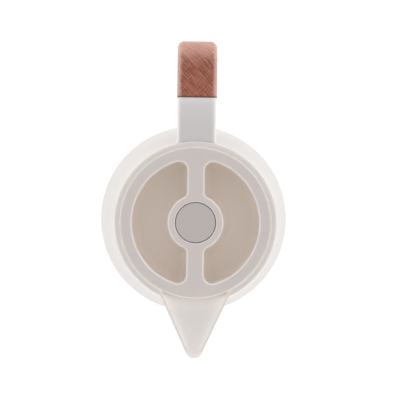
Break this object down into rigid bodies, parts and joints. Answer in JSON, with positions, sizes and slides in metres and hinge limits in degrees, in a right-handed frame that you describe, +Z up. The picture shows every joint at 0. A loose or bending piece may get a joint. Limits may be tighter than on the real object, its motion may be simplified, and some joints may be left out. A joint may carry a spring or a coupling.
{
  "type": "vacuum jug",
  "caption": "Tapered insulated jug with a beak spout, a strap handle with a wooden grip and a screw-in stopper with a push button that opens the pouring valve.",
  "frame": {"origin": "centre of the foot ring, on the surface that the jug stands on", "axes": "+Z up, -Y towards the beak, +Y towards the handle, X across the jug"},
  "size_m": [0.149, 0.2205, 0.24],
  "materials": {
    "white_plastic": "fine matt warm white",
    "lid_plastic": "fine matt warm white",
    "button_plastic": "matt warm grey-white",
    "plug_plastic": "natural white",
    "silvered_glass": "silvered inside the vacuum gap",
    "grey_pad": "felt-like",
    "silicone": "translucent off-white",
    "soft_foot": "matt grey",
    "steel": "satin",
    "wood": "oiled red-brown, fine grain"
  },
  "bodies": {
    "jug": {"body_shell": "white_plastic", "collar": "white_plastic", "flask_outer": "silvered_glass", "flask_inner": "silvered_glass", "flask_spacers": "grey_pad", "neck_gasket": "silicone", "flask_cushion": "silicone", "base_cap": "white_plastic", "foot_ring": "soft_foot", "handle_spine": "steel", "arm_cover": "white_plastic", "grip_outer": "wood", "grip_inner": "wood", "grip_screws": "steel", "handle_screws": "steel"},
    "stopper_seal": {"plug_seal": "silicone"},
    "stopper": {"lid_cover": "lid_plastic", "stopper_body": "plug_plastic", "stem_seal": "silicone", "return_spring": "steel"},
    "valve": {"button": "button_plastic", "plunger": "plug_plastic", "valve_disc": "plug_plastic", "valve_seal": "silicone"},
    "latch": {"latch_pin": "steel"}
  },
  "joints": [
    {"name": "stopper_lift", "type": "slide", "parent": "jug", "child": "stopper_seal", "axis": [0, 0, 1], "range_m": [0, 0.072]},
    {"name": "stopper_turn", "type": "hinge", "parent": "stopper_seal", "child": "stopper", "pos_m": [0, 0, 0.2], "axis": [0, 0, 1], "range_deg": [0, 1080]},
    {"name": "button_press", "type": "slide", "parent": "stopper", "child": "valve", "axis": [0, 0, -1], "range_m": [0, 0.006], "stiffness_N_per_m": 800, "springref_m": -0.006, "deforming": ["return_spring"]},
    {"name": "latch_swing", "type": "hinge", "parent": "stopper", "child": "latch", "pos_m": [0, 0, 0.215], "axis": [1, 0, 0], "range_deg": [0, 14]}
  ],
  "couplings": [
    {"joint": "stopper_lift", "follows": "stopper_turn", "m_per_rad": 0.0038197},
    {"joint": "latch_swing", "follows": "button_press", "rad_per_m": 39.56}
  ]
}
